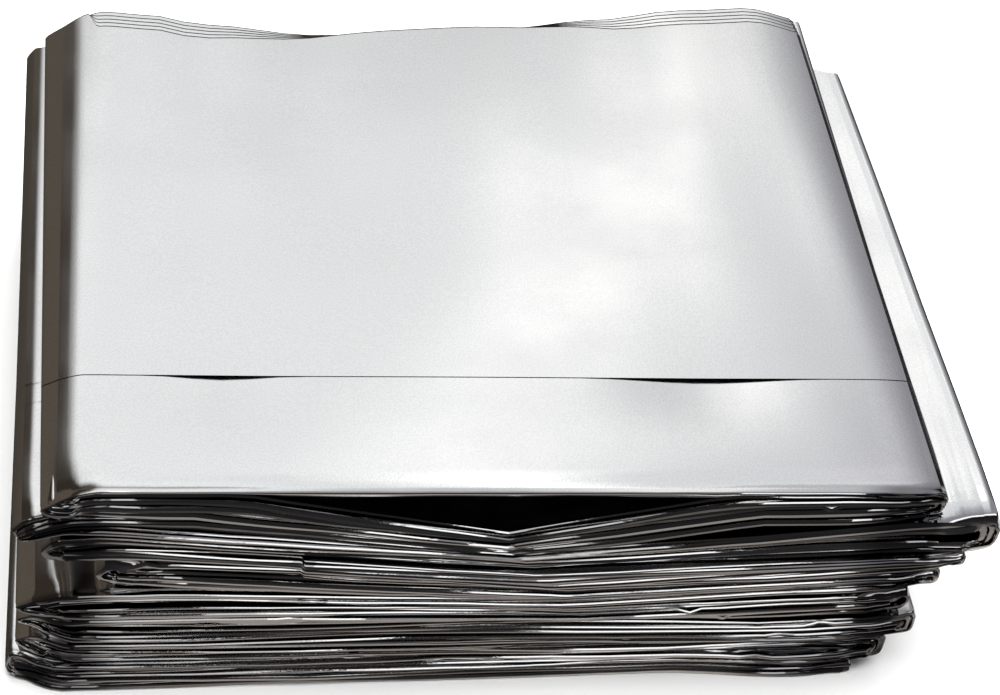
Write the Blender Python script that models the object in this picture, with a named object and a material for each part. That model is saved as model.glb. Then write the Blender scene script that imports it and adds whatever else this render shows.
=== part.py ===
"""Folded emergency foil blanket, unpacked and lying flat.

The blanket is one strip of film, already folded lengthwise into a stack of plies, that runs back
and forth in sixteen layers. Each layer here stands for the strip's plies lying together, and the
layers turn into each other at the left and right ends. The long side nearest to -Y is the open
edge, where the plies show. Tables are in millimetres; the mesh is in metres, with +X along the
layers, +Z up and the underside resting on z = 0.
"""

import math

import bmesh
import bpy

MM = 0.001

MIDDLE_X = 1.4           # middle of the outline in the tables' coordinates, which is put on the
MIDDLE_Y = 55.14         # origin; the tables count y from the open edge
STACK_HEIGHT = 42.0      # settled height of the sixteen layers
LAYER_GAP = 0.5          # clear space between one layer and the next
LAYER_THICKEST = 2.6     # a layer never fills more than this where the stack opens up
TOP_LAYER_THICKEST = 1.3     # the top layer is stretched thin over the hollow below it
SETTLE_DEPTH = 55.0      # how far in from the open edge the layers take their settled pitch
EDGE_HALF = 66.0         # the tables' "left" and "right" values are met at x = -66 and x = 66
CORNER_WIDTH = 9.0       # length of edge over which a fold's corner is drawn back
NOSE_RADIUS = 0.8        # rounding of a layer's long edges
END_PINCH = 0.25         # share of its thickness by which each side of a free end is rounded in
SLIT_REACH = 0.4         # least depth of the hollow inside a fold

# One row for each layer, top to bottom. "left" and "right" are the heights of its upper face at the
# two ends of the open edge; "dip" is how far that face drops at the crease at x = "crease", and
# "spread" is the half width of that drop; "near" and "far" are the y of its long edges at each end.
LAYERS = [
    # left, right, dip, crease, spread, near_left, near_right, far_left, far_right
    (42.0, 42.0, 0.0, 1.8, 40.0, 1.4, -1.4, 110.0, 112.0),
    (40.9, 40.8, 6.3, 1.8, 39.0, 1.0, -1.4, 109.0, 110.0),
    (37.7, 38.5, 5.7, 1.6, 50.0, 0.4, -1.5, 105.6, 105.4),
    (35.4, 36.3, 5.8, 2.7, 62.0, 0.2, -1.5, 105.4, 104.9),
    (33.3, 31.6, 4.8, 4.8, 60.0, 0.0, -1.4, 106.0, 105.0),
    (31.0, 28.6, 4.4, 6.3, 60.0, 0.0, -1.2, 107.0, 106.0),
    (28.3, 27.0, 4.6, 9.0, 60.0, 0.0, -1.4, 106.5, 107.0),
    (25.4, 24.9, 4.4, 11.8, 58.0, 0.2, -1.5, 107.0, 107.0),
    (20.4, 22.6, 3.2, 10.8, 58.0, 0.0, -1.2, 108.0, 106.0),
    (18.0, 19.8, 2.8, 13.0, 55.0, -0.3, -1.0, 107.0, 107.4),
    (15.1, 17.2, 1.9, 15.2, 50.0, -0.3, -0.8, 106.5, 106.0),
    (12.6, 14.2, 1.8, 42.3, 40.0, -0.5, -1.0, 107.5, 106.5),
    (9.9, 11.2, 1.1, 46.4, 36.0, -0.8, -0.8, 108.0, 106.0),
    (7.8, 7.8, 0.5, 30.0, 40.0, -1.2, -0.6, 107.0, 106.5),
    (5.3, 5.2, 0.3, 10.0, 40.0, -1.5, -0.4, 106.5, 107.0),
    (2.7, 2.6, 0.1, 0.0, 40.0, -1.6, -0.2, 106.0, 105.5),
]

# One row for each end of a layer, from the top layer's free end, on the right, to the bottom
# layer's, also on the right. Between them the strip turns at the left, then at the right, and so
# on. "near" and "far" are the x of the outermost point at each long edge, "reach" is how far the
# fold bulges past the flat part of its layers, and "near_corner" and "far_corner" are how far its
# two corners are drawn in towards the middle of the depth.
ENDS = [
    # near_x, far_x, near_reach, far_reach, near_corner, far_corner
    (65.5, 63.6, 1.0, 1.0, 0.0, 0.4),
    (-65.1, -67.2, 4.6, 7.3, 1.0, 4.2),
    (67.3, 64.8, 3.0, 3.0, 0.8, 0.8),
    (-70.2, -70.0, 4.2, 4.0, 1.0, 1.2),
    (75.0, 70.4, 4.8, 4.2, 0.6, 3.0),
    (-66.2, -68.0, 3.4, 3.0, 1.0, 1.0),
    (72.0, 67.0, 2.4, 2.6, 0.8, 1.4),
    (-58.4, -64.0, 3.2, 3.0, 0.6, 0.8),
    (69.0, 65.0, 3.4, 3.0, 1.0, 1.0),
    (-68.0, -68.6, 3.0, 3.0, 0.8, 1.2),
    (65.2, 62.5, 3.0, 3.0, 0.6, 0.8),
    (-63.5, -67.0, 3.0, 3.0, 0.5, 1.0),
    (67.5, 64.0, 3.2, 3.0, 0.8, 1.4),
    (-63.6, -67.0, 3.0, 3.0, 0.5, 0.8),
    (63.8, 61.0, 3.0, 3.0, 0.6, 1.0),
    (-72.2, -71.0, 4.2, 3.6, 3.2, 1.2),
    (58.8, 58.0, 1.0, 1.0, 0.6, 0.6),
]

# Height of the top of the stack along its far edge, where the middle has sunk.
FAR_SAG = [
    # x, lift
    (-75.0, -0.6),
    (-56.0, 0.0),
    (-44.0, -1.9),
    (-22.0, -4.0),
    (10.0, -2.6),
    (27.0, -0.9),
    (42.0, 0.7),
    (58.0, 0.9),
    (75.0, 0.0),
]
SAG_START = 45.0         # y at which the far edge's sag begins

DEPTH_STATIONS = (0.0, 0.07, 0.2, 0.42, 0.7, 0.9, 1.0)
NOSE_STATIONS = (0.67, 0.33)
STEPS_TO_CREASE = 4
STEPS_IN_TURN = 6

SHARP_ANGLE = math.radians(50.0)
FOIL_COLOUR = (0.78, 0.78, 0.77, 1.0)
FOIL_ROUGHNESS = 0.28


def lerp(a, b, t):
    return a + (b - a) * t


def smooth(t):
    t = min(1.0, max(0.0, t))
    return t * t * (3.0 - 2.0 * t)


def sag_at(x):
    """Lift of the top of the stack at its far edge, eased from one row to the next."""
    for (x0, lift0), (x1, lift1) in zip(FAR_SAG, FAR_SAG[1:]):
        if x <= x1:
            return lerp(lift0, lift1, smooth((x - x0) / (x1 - x0)))
    return FAR_SAG[-1][1]


def share_across(x):
    """How far x lies from the tables' "left" to their "right"."""
    return min(1.0, max(0.0, (x + EDGE_HALF) / (2.0 * EDGE_HALF)))


def upper_face(layer, x, y):
    """Height of a layer's upper face, counting layers from the top."""
    left, right, dip, crease, spread = LAYERS[layer][:5]
    at_edge = lerp(left, right, share_across(x)) - dip * max(0.0, 1.0 - abs(x - crease) / spread)
    settled = STACK_HEIGHT * (len(LAYERS) - layer) / len(LAYERS)
    height = lerp(at_edge, settled, smooth(y / SETTLE_DEPTH))
    sag = sag_at(x) * smooth((y - SAG_START) / (LAYERS[0][7] - SAG_START))
    return height * (1.0 + sag / STACK_HEIGHT)


def lower_face(layer, x, y):
    """Height of a layer's lower face, which lies just clear of the layer below it."""
    if layer == len(LAYERS) - 1:
        return 0.0
    thickest = LAYER_THICKEST
    if layer == 0:
        thickest = lerp(TOP_LAYER_THICKEST, LAYER_THICKEST, smooth(y / SETTLE_DEPTH))
    rest = upper_face(layer + 1, x, y) + LAYER_GAP
    return max(rest, upper_face(layer, x, y) - thickest)


def long_edges(layer, x):
    """The y of a layer's near and far edges at x."""
    near_left, near_right, far_left, far_right = LAYERS[layer][5:]
    across = share_across(x)
    return lerp(near_left, near_right, across), lerp(far_left, far_right, across)


def end_x(end, depth):
    """The x of an end's outermost point, and how far it bulges, at a share of the depth."""
    near_x, far_x, near_reach, far_reach = ENDS[end][:4]
    return lerp(near_x, far_x, depth), lerp(near_reach, far_reach, depth)


def draw_in_corners(near, far, end, x, outermost):
    """The y of the long edges beside an end, where its two corners are drawn in."""
    closeness = smooth(1.0 - abs(x - outermost) / CORNER_WIDTH)
    near_corner, far_corner = ENDS[end][4:]
    return near + near_corner * closeness, far - far_corner * closeness


def layer_station(layer, x, depth):
    """One station in the flat part of a layer: its y, and its faces' two points."""
    near, far = long_edges(layer, x)
    for end in (layer, layer + 1):
        near, far = draw_in_corners(near, far, end, x, end_x(end, depth)[0])
    y = lerp(near, far, depth)
    return y, (x, upper_face(layer, x, y)), (x, lower_face(layer, x, y))


def turn_station(end, angle, depth):
    """One station round the fold between a layer and the next: its y, outer and inner point."""
    upper = end - 1
    side = -1.0 if end % 2 else 1.0
    outermost, reach = end_x(end, depth)
    pivot = outermost - side * reach
    share = angle / math.pi
    near_a, far_a = long_edges(upper, pivot)
    near_b, far_b = long_edges(upper + 1, pivot)
    bulge = side * math.sin(angle)
    near, far = lerp(near_a, near_b, share), lerp(far_a, far_b, share)
    near, far = draw_in_corners(near, far, end, pivot + bulge * reach, outermost)
    y = lerp(near, far, depth)
    top = upper_face(upper, pivot, y)
    slit_top = lower_face(upper, pivot, y)
    slit_bottom = upper_face(upper + 1, pivot, y)
    bottom = lower_face(upper + 1, pivot, y)
    wall = 0.5 * (top - slit_top + slit_bottom - bottom)
    inner_reach = max(SLIT_REACH, reach - wall)
    rise = math.cos(angle)
    outer_z = 0.5 * (top + bottom) + 0.5 * (top - bottom) * rise
    inner_z = 0.5 * (slit_top + slit_bottom) + 0.5 * (slit_top - slit_bottom) * rise
    return y, (pivot + bulge * reach, outer_z), (pivot + bulge * inner_reach, inner_z)


def stations(depth):
    """All stations along the strip at one share of the depth, as (y, face A point, face B point).

    Face A is the strip's upper side in the top layer, so it is a layer's upper side in every
    second layer and its lower side in the others.
    """
    rows = []
    for layer in range(len(LAYERS)):
        flipped = layer % 2 == 1
        ends = []
        for end in (layer, layer + 1):
            outermost, reach = end_x(end, depth)
            ends.append(outermost + math.copysign(reach, -outermost))
        crease = LAYERS[layer][3]
        if layer == 0:
            rows.append(closed_tip(layer, end_x(0, depth)[0], depth, flipped))
        xs = [lerp(ends[0], crease, i / STEPS_TO_CREASE) for i in range(STEPS_TO_CREASE)]
        xs += [lerp(crease, ends[1], i / STEPS_TO_CREASE) for i in range(STEPS_TO_CREASE + 1)]
        for x in xs:
            y, upper, lower = layer_station(layer, x, depth)
            rows.append((y, lower, upper) if flipped else (y, upper, lower))
        if layer == len(LAYERS) - 1:
            rows.append(closed_tip(layer, end_x(layer + 1, depth)[0], depth, flipped))
            break
        for step in range(1, STEPS_IN_TURN):
            y, outer, inner = turn_station(layer + 1, math.pi * step / STEPS_IN_TURN, depth)
            rows.append((y, inner, outer) if flipped else (y, outer, inner))
    return rows


def closed_tip(layer, x, depth, flipped):
    """The rounded last station at a free end."""
    y, upper, lower = layer_station(layer, x, depth)
    pinch = END_PINCH * (upper[1] - lower[1])
    upper = (upper[0], upper[1] - pinch)
    lower = (lower[0], lower[1] + (pinch if lower[1] > 0.0 else 0.0))
    return (y, lower, upper) if flipped else (y, upper, lower)


def section_points():
    """The strip's closed cross-section, as (depth, share from face B to face A, edge rounding)."""
    points = []
    for depth in DEPTH_STATIONS:
        inset = NOSE_RADIUS * ((depth == 0.0) - (depth == 1.0))
        points.append((depth, 0.0, inset))
    for share in reversed(NOSE_STATIONS):
        points.append((1.0, share, 0.0))
    for depth in reversed(DEPTH_STATIONS):
        inset = NOSE_RADIUS * ((depth == 0.0) - (depth == 1.0))
        points.append((depth, 1.0, inset))
    for share in NOSE_STATIONS:
        points.append((0.0, share, 0.0))
    return points


def build_strip():
    section = section_points()
    by_depth = {depth: stations(depth) for depth in DEPTH_STATIONS}
    mesh = bmesh.new()
    rings = []
    for k in range(len(by_depth[0.0])):
        ring = []
        for depth, share, inset in section:
            y, face_a, face_b = by_depth[depth][k]
            x = lerp(face_b[0], face_a[0], share)
            z = lerp(face_b[1], face_a[1], share)
            place = (x - MIDDLE_X, y + inset - MIDDLE_Y, z)
            ring.append(mesh.verts.new([value * MM for value in place]))
        rings.append(ring)
    count = len(section)
    for ring_a, ring_b in zip(rings, rings[1:]):
        for i in range(count):
            j = (i + 1) % count
            mesh.faces.new((ring_a[i], ring_a[j], ring_b[j], ring_b[i]))
    for ring in (rings[0], rings[-1]):
        close_end(mesh, ring)
    bmesh.ops.recalc_face_normals(mesh, faces=mesh.faces)
    bmesh.ops.triangulate(mesh, faces=mesh.faces)
    return mesh


def close_end(mesh, ring):
    """Cover a free end with a strip of faces between its two sides."""
    first = 0
    last = len(ring) - len(NOSE_STATIONS) - 1
    while last - first > 3:
        mesh.faces.new((ring[first], ring[first + 1], ring[last - 1], ring[last]))
        first += 1
        last -= 1
    mesh.faces.new([ring[i] for i in range(first, last + 1)])
    mesh.faces.new([ring[0]] + [ring[i] for i in range(len(ring) - 1, len(ring) - 4, -1)])


def foil_material():
    material = bpy.data.materials.new("foil")
    material.use_nodes = True
    shader = material.node_tree.nodes["Principled BSDF"]
    shader.inputs["Base Color"].default_value = FOIL_COLOUR
    shader.inputs["Metallic"].default_value = 1.0
    shader.inputs["Roughness"].default_value = FOIL_ROUGHNESS
    material.diffuse_color = FOIL_COLOUR
    return material


def main():
    for thing in list(bpy.data.objects):
        bpy.data.objects.remove(thing, do_unlink=True)
    mesh = build_strip()
    data = bpy.data.meshes.new("foil_blanket")
    mesh.to_mesh(data)
    mesh.free()
    data.shade_smooth()
    data.set_sharp_from_angle(angle=SHARP_ANGLE)
    data.materials.append(foil_material())
    blanket = bpy.data.objects.new("foil_blanket", data)
    bpy.context.collection.objects.link(blanket)


main()
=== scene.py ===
"""Looks of the folded emergency foil blanket: its film ply by ply, its finish, and the studio.

The film is one sheet, folded lengthwise into a strip of eleven plies, which runs back and forth in
sixteen layers. Tables are in millimetres: x along the layers, y from the open edge, z up from the
surface. Layers, ends and folds are counted from 0, and the layers and ends from the top.
"""

import math

import bpy
import numpy as np
from mathutils import Matrix, Vector


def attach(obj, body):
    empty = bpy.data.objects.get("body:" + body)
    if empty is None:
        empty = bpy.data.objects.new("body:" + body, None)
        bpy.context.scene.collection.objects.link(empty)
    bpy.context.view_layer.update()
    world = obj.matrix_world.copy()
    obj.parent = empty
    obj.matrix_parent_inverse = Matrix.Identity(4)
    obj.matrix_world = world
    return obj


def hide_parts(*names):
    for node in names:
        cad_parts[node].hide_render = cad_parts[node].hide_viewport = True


MM = 0.001

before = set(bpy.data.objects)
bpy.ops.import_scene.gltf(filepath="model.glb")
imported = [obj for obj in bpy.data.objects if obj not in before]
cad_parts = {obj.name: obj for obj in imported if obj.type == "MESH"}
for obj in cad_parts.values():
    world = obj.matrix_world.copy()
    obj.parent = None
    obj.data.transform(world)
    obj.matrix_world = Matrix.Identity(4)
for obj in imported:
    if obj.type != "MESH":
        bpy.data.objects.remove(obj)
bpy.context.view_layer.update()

# ---------------------------------------------------------------- the folded stack's dimensions

MIDDLE_X = 1.4           # middle of the outline in the tables' coordinates, which is put on the
MIDDLE_Y = 55.14         # origin
STACK_HEIGHT = 42.0      # settled height of the sixteen layers
LAYER_GAP = 0.35         # clear space between one layer and the next
LAYER_THICKEST = 3.1     # a layer never fills more than this where the stack opens up
TOP_LAYER_THICKEST = 1.3     # the top layer is stretched thin over the hollow below it
SETTLE_DEPTH = 55.0      # how far in from the open edge the layers take their settled pitch
EDGE_HALF = 66.0         # the tables' left and right values are met at x = -66 and x = 66
CORNER_WIDTH = 9.0       # length of edge over which a fold's corner is drawn back
SLIT_REACH = 0.4         # least depth of the hollow inside a fold

LEFT, RIGHT, DIP, CREASE, SPREAD, NEAR_LEFT, NEAR_RIGHT, FAR_LEFT, FAR_RIGHT = range(9)
LAYERS = np.array([
    # left, right: heights of the upper face at the open edge; dip: how far a V hangs below them at
    # x = crease, spread to either side; near and far: y of the long edges at the left and the right
    (42.0, 42.0, 0.0, 1.8, 40.0, 1.8, -0.4, 110.0, 112.0),
    (40.9, 40.8, 8.4, 1.8, 39.0, 1.0, -1.4, 109.0, 111.6),
    (37.7, 38.5, 7.5, 1.6, 46.0, 0.4, -1.5, 108.0, 110.4),
    (35.4, 36.3, 6.9, 2.7, 60.0, 0.2, -1.5, 108.0, 107.6),
    (33.3, 31.6, 5.0, 4.8, 60.0, 0.0, -1.4, 107.0, 107.4),
    (31.0, 28.6, 4.4, 6.3, 60.0, 0.0, -1.2, 107.0, 106.0),
    (28.3, 27.0, 4.6, 9.0, 60.0, 0.0, -1.4, 106.5, 107.0),
    (25.4, 24.9, 4.4, 11.8, 58.0, 0.2, -1.5, 107.0, 107.0),
    (20.4, 22.6, 3.2, 10.8, 58.0, 0.0, -1.2, 108.0, 106.0),
    (18.0, 19.8, 2.8, 13.0, 55.0, -0.3, -1.0, 107.0, 107.4),
    (15.1, 17.2, 1.9, 15.2, 50.0, -0.3, -0.8, 106.5, 106.0),
    (12.6, 14.2, 1.8, 42.3, 40.0, -0.5, -1.0, 107.5, 106.5),
    (9.9, 11.2, 1.1, 46.4, 36.0, -0.8, -0.8, 108.0, 106.0),
    (7.8, 7.8, 0.5, 30.0, 40.0, -1.2, -0.6, 107.0, 106.5),
    (5.3, 5.2, 0.3, 10.0, 40.0, -1.5, -0.4, 106.5, 107.0),
    (2.7, 2.6, 0.1, 0.0, 40.0, -1.6, -0.2, 106.0, 105.5),
])
COUNT = len(LAYERS)
RIGHT_SPREAD = 0.8       # the uppermost dips are narrower on the right by this share
NARROW_DIPS = 3          # so many of them

NEAR_X, FAR_X, NEAR_REACH, FAR_REACH, NEAR_CORNER, FAR_CORNER, PINCH, DROOP, BOW = range(9)
ENDS = np.array([
    # x: outermost, at the open edge and at the far one; reach: the fold's own length there;
    # corner: how far it is drawn in; pinch, droop: shape of the near corner; bow: bulge between
    (66.2, 62.3, 0.75, 0.75, 0.0, 2.4, 0.00, 0.0, 0.0),
    (-66.1, -67.0, 5.6, 7.2, -0.2, 3.6, 0.00, 1.8, 0.0),
    (66.9, 64.1, 3.0, 3.0, 0.8, 0.8, 0.45, 0.4, 0.0),
    (-70.2, -70.2, 3.4, 3.2, -0.4, 0.0, 0.35, 1.7, 0.0),
    (75.6, 70.7, 4.8, 4.6, 0.2, 3.0, 0.66, 0.0, 0.6),
    (-66.2, -68.0, 3.4, 3.0, 0.0, 1.0, 0.30, 1.0, 0.0),
    (72.0, 67.0, 2.4, 2.6, 0.8, 1.4, 0.50, 0.2, 0.0),
    (-58.4, -64.0, 3.2, 3.0, 0.6, 0.8, 0.50, 0.2, 0.0),
    (69.0, 65.0, 3.4, 3.0, 1.0, 1.0, 0.45, 0.2, 0.0),
    (-70.2, -70.4, 7.0, 3.0, 0.8, 1.2, 0.40, 1.0, 0.0),
    (65.2, 62.5, 3.0, 3.0, 0.6, 0.8, 0.50, 0.0, 0.0),
    (-70.2, -69.2, 5.0, 2.8, 3.0, 1.0, 0.50, 0.3, 0.0),
    (67.5, 64.0, 3.2, 3.0, 0.8, 1.4, 0.50, 0.0, 0.0),
    (-70.6, -69.2, 5.0, 2.8, 3.0, 0.8, 0.40, 0.2, 0.0),
    (63.8, 61.0, 3.0, 3.0, 0.6, 1.0, 0.50, 0.0, 0.0),
    (-72.2, -71.6, 1.5, 1.5, 2.8, 1.2, 0.00, 0.0, 0.0),
    (58.8, 58.0, 1.0, 1.0, 0.6, 0.6, 0.30, 0.0, 0.0),
])

FAR_SAG = np.array([
    # x, lift of the far edge
    (-75.0, -0.9),
    (-64.5, -0.6),
    (-57.0, 0.9),
    (-50.0, 0.3),
    (-40.0, -1.8),
    (-22.0, -4.0),
    (10.0, -2.6),
    (27.0, -0.6),
    (42.0, 1.5),
    (58.0, 2.2),
    (75.0, 0.6),
])
SAG_START = 20.0         # the far edge's lifts begin at this y
SAG_LIMIT = 1.1          # the sag stops growing at this share of the way from there to the far edge
SAG_POWER = 1.25
SAG_DEPTH = 0.25         # how much of a lift moves the film up or down
SAG_REACH = 0.96         # and how much moves the upper layers' far edge out or in

# ---------------------------------------------------------------- small helpers


def lerp(a, b, t):
    return a + (b - a) * t


def smooth(t):
    t = np.clip(t, 0.0, 1.0)
    return t * t * (3.0 - 2.0 * t)


def bump(value, centre, half_width):
    """A rounded hill, 1 at the centre and 0 from half_width on."""
    return smooth(1.0 - np.abs(value - centre) / half_width)


def lattice(ix, iy, iz, seed):
    """A repeatable value from -1 to 1 for each cell corner."""
    mixed = (ix * 73856093) ^ (iy * 19349663) ^ (iz * 83492791) ^ (seed * 2654435761)
    mixed = ((mixed ^ (mixed >> 13)) * 1274126177) & 0x7FFFFFFF
    return ((mixed >> 8) & 0xFFFF) / 32767.5 - 1.0


def noise(x, y, z, sizes, seed, kinked=False):
    """Noise from -1 to 1 with features of the given sizes: soft, or straight runs with kinks."""
    coords = [np.asarray(value, float) / size for value, size in zip((x, y, z), sizes)]
    coords = np.broadcast_arrays(*coords)
    cells = [np.floor(value).astype(np.int64) for value in coords]
    shares = [value - cell for value, cell in zip(coords, cells)]
    if not kinked:
        shares = [smooth(share) for share in shares]
    total = 0.0
    for cx in (0, 1):
        for cy in (0, 1):
            for cz in (0, 1):
                weight = 1.0
                for corner, share in zip((cx, cy, cz), shares):
                    weight = weight * (share if corner else 1.0 - share)
                total = total + weight * lattice(cells[0] + cx, cells[1] + cy, cells[2] + cz, seed)
    return total


# ---------------------------------------------------------------- the stack's surfaces


def share_across(x):
    return np.clip((x + EDGE_HALF) / (2.0 * EDGE_HALF), 0.0, 1.0)


def sag_at(x):
    index = np.clip(np.searchsorted(FAR_SAG[:, 0], x) - 1, 0, len(FAR_SAG) - 2)
    x0, lift0 = FAR_SAG[index, 0], FAR_SAG[index, 1]
    x1, lift1 = FAR_SAG[index + 1, 0], FAR_SAG[index + 1, 1]
    return lerp(lift0, lift1, smooth((x - x0) / (x1 - x0)))


def upper_face(layer, x, y):
    """Height of a layer's upper face, counting layers from the top."""
    row = LAYERS[layer]
    narrowed = (x > row[..., CREASE]) & (layer < NARROW_DIPS)
    spread = row[..., SPREAD] * np.where(narrowed, RIGHT_SPREAD, 1.0)
    dip = row[..., DIP] * np.maximum(0.0, 1.0 - np.abs(x - row[..., CREASE]) / spread)
    at_edge = lerp(row[..., LEFT], row[..., RIGHT], share_across(x)) - dip
    settled = STACK_HEIGHT * (COUNT - layer) / COUNT
    height = lerp(at_edge, settled, smooth(y / SETTLE_DEPTH))
    inward = np.clip((y - SAG_START) / (LAYERS[0, FAR_LEFT] - SAG_START), 0.0, SAG_LIMIT)
    sag = SAG_DEPTH * sag_at(x) * inward ** SAG_POWER
    return height * (1.0 + sag / STACK_HEIGHT)


def lower_face(layer, x, y):
    """Height of a layer's lower face, just clear of the layer below it."""
    top_thickness = lerp(TOP_LAYER_THICKEST, LAYER_THICKEST, smooth(y / SETTLE_DEPTH))
    thickest = np.where(layer == 0, top_thickness, LAYER_THICKEST)
    rest = upper_face(np.minimum(layer + 1, COUNT - 1), x, y) + LAYER_GAP
    lowest = np.maximum(rest, upper_face(layer, x, y) - thickest)
    return np.where(layer == COUNT - 1, 0.0, lowest)


NEAR_TWISTS = (
    # layer, from x, to x, drawn in
    (4, 64.0, 74.0, -0.5),
    (14, 30.0, 48.0, -1.0),
    (15, 30.0, 48.0, -1.2),
    (5, -28.6, -28.0, -0.7),
    (6, -28.6, -28.0, -0.4),
)


def long_edges(layer, x):
    """y of a layer's open edge and of its far edge."""
    row = LAYERS[layer]
    across = share_across(x)
    near = lerp(row[..., NEAR_LEFT], row[..., NEAR_RIGHT], across)
    far = lerp(row[..., FAR_LEFT], row[..., FAR_RIGHT], across)
    for twisted, from_x, to_x, drawn_in in NEAR_TWISTS:
        twist = drawn_in * smooth((x - from_x) / (to_x - from_x))
        near = near + np.where(layer == twisted, twist, 0.0)
    upper_layers = smooth(1.5 - 0.5 * layer)     # 1 for the two uppermost layers, 0 from the fourth on
    return near, far + SAG_REACH * sag_at(x) * upper_layers


def end_x(end, depth):
    """Outermost x of a layer's end and how far its fold reaches, at a share of the depth."""
    row = ENDS[end]
    bow = 4.0 * row[..., BOW] * depth * (1.0 - depth)
    outermost = lerp(row[..., NEAR_X], row[..., FAR_X], depth) + bow
    return outermost, lerp(row[..., NEAR_REACH], row[..., FAR_REACH], depth)


def draw_in_corners(near, far, end, x, outermost):
    closeness = smooth(1.0 - np.abs(x - outermost) / CORNER_WIDTH)
    return near + ENDS[end, NEAR_CORNER] * closeness, far - ENDS[end, FAR_CORNER] * closeness


def end_side(end):
    """-1 for an end on the left, 1 for one on the right."""
    return np.where(end % 2 == 1, -1.0, 1.0)


# ---------------------------------------------------------------- stations along the strip

STEPS_TO_CREASE = 24
STEPS_IN_TURN = 12
FINEST_STEP = 0.45       # stations crowd towards the folds, where the film is crumpled
WIDEST_STEP = 4.6
CREASE_STEP = 1.1
CROWDED_LENGTH = 15.0    # over this much at a fold
CREASE_LENGTH = 9.0      # and over this much at the crease
HALF_LENGTH = 64.0       # usual length of half a layer
RULER_MARKS = 400        # places at which the crowding is added up

KNOT_X, KNOT_LAYER, KNOT_FOLD, KNOT_HALF, KNOT_IN, KNOT_LIFT = range(6)
KNOTS = np.array([
    # x, layer, near fold, half width, drawn in, lift
    (49.0, 1, 0, 1.6, -0.45, -0.30),
    (-26.5, 8, 2, 2.6, -0.15, 0.27),
    (-30.0, 10, 0, 1.8, 0.27, -0.16),
    (-45.5, 13, 2, 2.4, -0.18, 0.22),
    (-19.5, 13, 0, 1.5, -0.15, 0.16),
    (-42.0, 10, 2, 2.0, 0.24, 0.16),
    (-51.0, 6, 0, 2.0, 0.27, 0.16),
    (31.0, 9, 0, 1.8, -0.45, -0.30),
    (36.5, 10, 2, 1.7, -0.45, -0.30),
    (3.0, 2, 2, 2.2, 0.24, 0.16),
    (6.5, 4, 0, 2.2, 0.21, -0.16),
    (12.0, 6, 2, 2.0, 0.24, 0.22),
    (-10.0, 7, 0, 2.0, 0.21, -0.16),
    (46.0, 12, 0, 2.4, 0.48, -0.12),
    (52.0, 11, 2, 2.4, 0.36, 0.22),
    (43.0, 14, 0, 2.6, 0.36, 0.06),
    (22.0, 12, 2, 2.0, 0.21, 0.16),
    # the last two only add stations, at a narrow twist
    (-28.3, 5, 0, 0.3, 0.00, 0.00),
    (-28.3, 6, 0, 0.3, 0.00, 0.00),
])


def crowded_shares(count):
    """Shares from 0 at a fold to 1 at the crease, close together at both and wide between them."""
    fine = np.linspace(0.0, HALF_LENGTH, RULER_MARKS)
    step = lerp(FINEST_STEP, WIDEST_STEP, smooth(fine / CROWDED_LENGTH))
    step = lerp(CREASE_STEP, step, smooth((HALF_LENGTH - fine) / CREASE_LENGTH))
    passed = np.concatenate([[0.0], np.cumsum(1.0 / step[1:])])
    return np.interp(np.linspace(0.0, passed[-1], count + 1), passed, fine / HALF_LENGTH)


def shares_with_knots(layer, end):
    """The half layer's shares, with extra ones at the middle and the edges of its knots."""
    pivot = ENDS[end, NEAR_X] - end_side(end) * ENDS[end, NEAR_REACH]
    crease = LAYERS[layer, CREASE]
    shares = list(crowded_shares(STEPS_TO_CREASE)[:-1])
    for knot in KNOTS:
        x, half = knot[KNOT_X], knot[KNOT_HALF]
        if knot[KNOT_LAYER] == layer and 0.0 < (x - pivot) / (crease - pivot) < 1.0:
            places = (x - half, x, x + half)
            shares += [(place - pivot) / (crease - pivot) for place in places]
    return sorted(share for share in shares if 0.0 <= share < 1.0)


FLAT, FREE_END, TURN = 0, 1, 2


def make_stations():
    """Columns: layer, nearest end, share of the way to the crease, step round the fold, kind."""
    rows = []
    for layer in range(COUNT):
        before, after = shares_with_knots(layer, layer), shares_with_knots(layer, layer + 1)
        if layer == 0:
            rows.append((layer, layer, 0.0, 0, FREE_END))
        rows += [(layer, layer, share, 0, FLAT) for share in before]
        rows.append((layer, layer + 1, 1.0, 0, FLAT))
        rows += [(layer, layer + 1, share, 0, FLAT) for share in reversed(after)]
        if layer == COUNT - 1:
            rows.append((layer, layer + 1, 0.0, 0, FREE_END))
        else:
            rows += [(layer, layer + 1, 0.0, step, TURN) for step in range(1, STEPS_IN_TURN)]
    return np.array(rows)


STATIONS = make_stations()
LAYER, END, STEP, KIND = [STATIONS[:, column, None].astype(int) for column in (0, 1, 3, 4)]
SHARE = STATIONS[:, 2, None]
FLIPPED = LAYER % 2 == 1
BELOW = np.minimum(LAYER + 1, COUNT - 1)

STRIP_WIDTH = 108.0
PINCH_LENGTH = 14.0      # a fold's near corner is squashed towards its middle height by its pinch
PINCH_DEPTH = 1.0
DROOP_LENGTH = 9.0       # and bends down by its droop
DROOP_DEPTH = 10.0
DROOP_POWER = 1.3

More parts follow.
